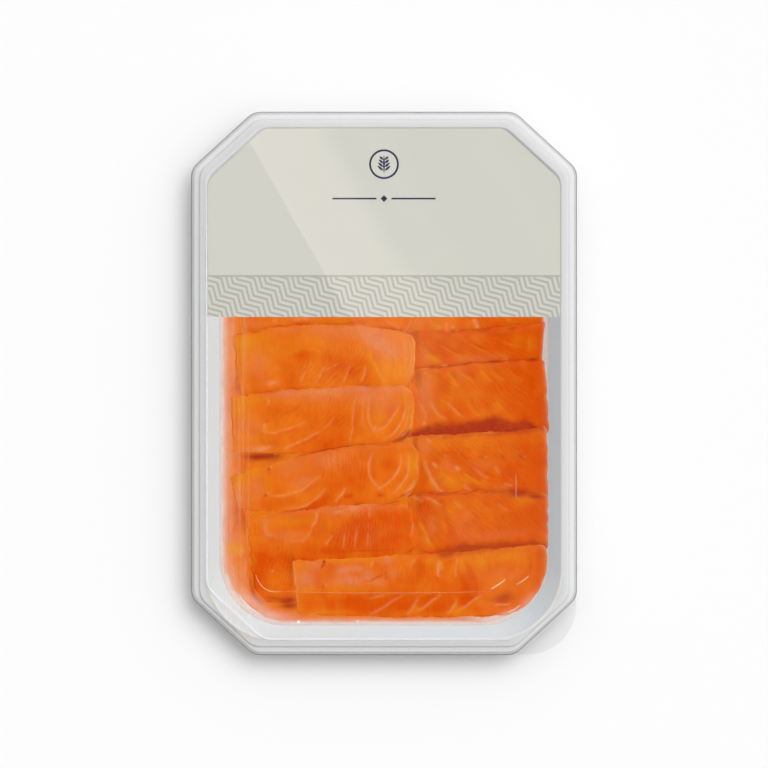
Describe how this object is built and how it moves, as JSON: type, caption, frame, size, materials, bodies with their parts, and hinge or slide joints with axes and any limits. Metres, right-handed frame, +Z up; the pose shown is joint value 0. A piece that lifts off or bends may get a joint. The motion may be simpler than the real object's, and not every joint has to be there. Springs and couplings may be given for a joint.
{
  "type": "smoked salmon pack",
  "caption": "Flat sealed tray of sliced smoked salmon with cut corners, a stepped flange and a clear peel-off lid film with a printed panel.",
  "frame": {"origin": "middle of the pack's footprint, on the surface that the tray's base stands on", "axes": "+Z up out of the lid film, +Y towards the label end, +X towards the side with the peel corner"},
  "size_m": [0.135, 0.19, 0.0117],
  "materials": {
    "tray_plastic": "white thermoformed sheet with a soft gloss",
    "clear_film": "clear glossy lidding film",
    "lid_print": "flat ink printed on the underside of the lid film",
    "salmon": "moist orange fish flesh with pale fat lines"
  },
  "bodies": {
    "root": {"tray": "tray_plastic", "lid_film": "clear_film", "salmon_bed": "salmon", "slice_left_1": "salmon", "slice_left_2": "salmon", "slice_left_3": "salmon", "slice_left_4": "salmon", "slice_left_5": "salmon", "slice_left_6": "salmon", "slice_left_7": "salmon", "slice_right_1": "salmon", "slice_right_2": "salmon", "slice_right_3": "salmon", "slice_right_4": "salmon", "slice_right_5": "salmon", "slice_right_6": "salmon", "slice_right_7": "salmon", "slice_foot": "salmon"}
  },
  "joints": []
}
